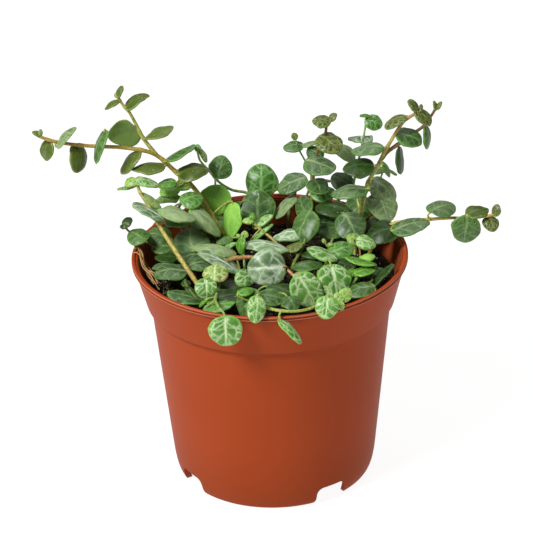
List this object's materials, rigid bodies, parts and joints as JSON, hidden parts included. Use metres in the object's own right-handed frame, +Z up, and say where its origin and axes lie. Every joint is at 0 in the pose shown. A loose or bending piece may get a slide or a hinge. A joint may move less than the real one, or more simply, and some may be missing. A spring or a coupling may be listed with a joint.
{
  "type": "potted peperomia",
  "caption": "Trailing small-leaved peperomia with veined round leaves, growing from peat in a tapered plastic nursery pot.",
  "frame": {"origin": "under the middle of the pot, on the plane that the pot's foot stands on; the plant spreads evenly about it", "axes": "+Z up; -Y is the front of the pot; +X to the right, along the plant's longest spread"},
  "size_m": [0.1821, 0.1216, 0.1519],
  "materials": {
    "pot_plastic": "injection moulded polypropylene, terracotta coloured, satin",
    "peat": "loose dark peat with perlite and root fibres, matt",
    "leaf_tissue": "fleshy living leaf and stem tissue with a waxy skin, pale veins"
  },
  "bodies": {
    "root": {"pot": "pot_plastic", "soil": "peat", "stem_backCentre": "leaf_tissue", "stem_backLeft": "leaf_tissue", "stem_backMat": "leaf_tissue", "stem_backRight": "leaf_tissue", "stem_backRunner": "leaf_tissue", "stem_backSpill": "leaf_tissue", "stem_brightShoot": "leaf_tissue", "stem_brownStem": "leaf_tissue", "stem_centreShoot": "leaf_tissue", "stem_forkedRight": "leaf_tissue", "stem_frontLeft": "leaf_tissue", "stem_frontMat": "leaf_tissue", "stem_frontRunner": "leaf_tissue", "stem_leaningLeft": "leaf_tissue", "stem_leftMat": "leaf_tissue", "stem_leftTip": "leaf_tissue", "stem_longLeft": "leaf_tissue", "stem_midTip": "leaf_tissue", "stem_rightMat": "leaf_tissue", "stem_rightRim": "leaf_tissue", "stem_sideRight": "leaf_tissue", "stem_smallShoot": "leaf_tissue", "stem_smallTip": "leaf_tissue", "stem_tallCentre": "leaf_tissue", "stem_twig": "leaf_tissue", "stem_yellowTip": "leaf_tissue", "stem_youngShoot": "leaf_tissue"}
  },
  "joints": []
}
